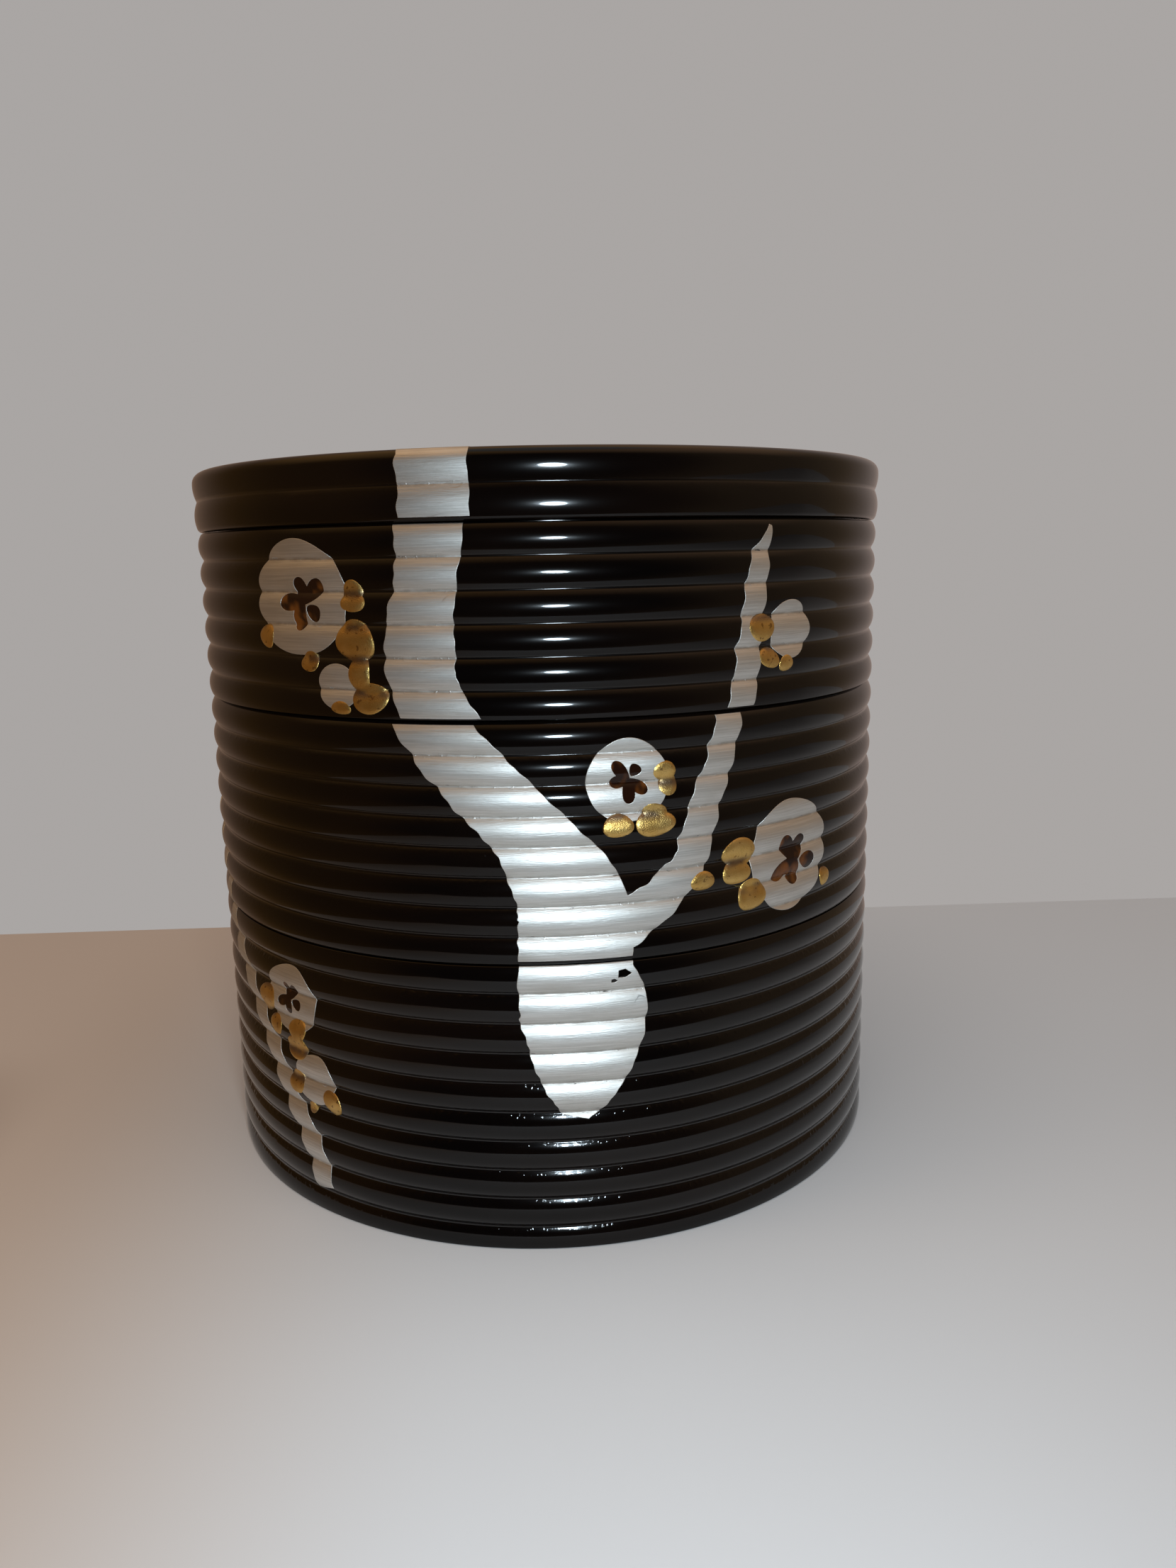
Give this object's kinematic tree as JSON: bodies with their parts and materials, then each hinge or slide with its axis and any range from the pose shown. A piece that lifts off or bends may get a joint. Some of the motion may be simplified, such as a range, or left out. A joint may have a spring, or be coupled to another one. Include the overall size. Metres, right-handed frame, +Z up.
{
  "type": "tiered lacquer box",
  "caption": "Round stacking food box in black lacquer, turned with fine horizontal ribs, with a lift-off lid and a plum tree laid across its side in silver and gold foil.",
  "frame": {"origin": "middle of the underside of the foot ring, on the surface that the box stands on", "axes": "+Z up along the turning axis; -Y is the side that the picture looks at, with the tree's trunk; +X is to the right in that view"},
  "size_m": [0.2416, 0.2416, 0.2378],
  "materials": {
    "black_lacquer": "turned wood under black-brown lacquer polished to a deep gloss",
    "silver_foil": "thin silver laid in lacquer, satin, fine grained, a little worn in the grooves",
    "gold_foil": "raised gold, satin, fine grained",
    "red_brown_lacquer": "dark red-brown lacquer, glossy"
  },
  "bodies": {
    "root": {"lid": "black_lacquer", "upper_tier": "black_lacquer", "middle_tier": "black_lacquer", "lower_tier": "black_lacquer"}
  },
  "joints": []
}
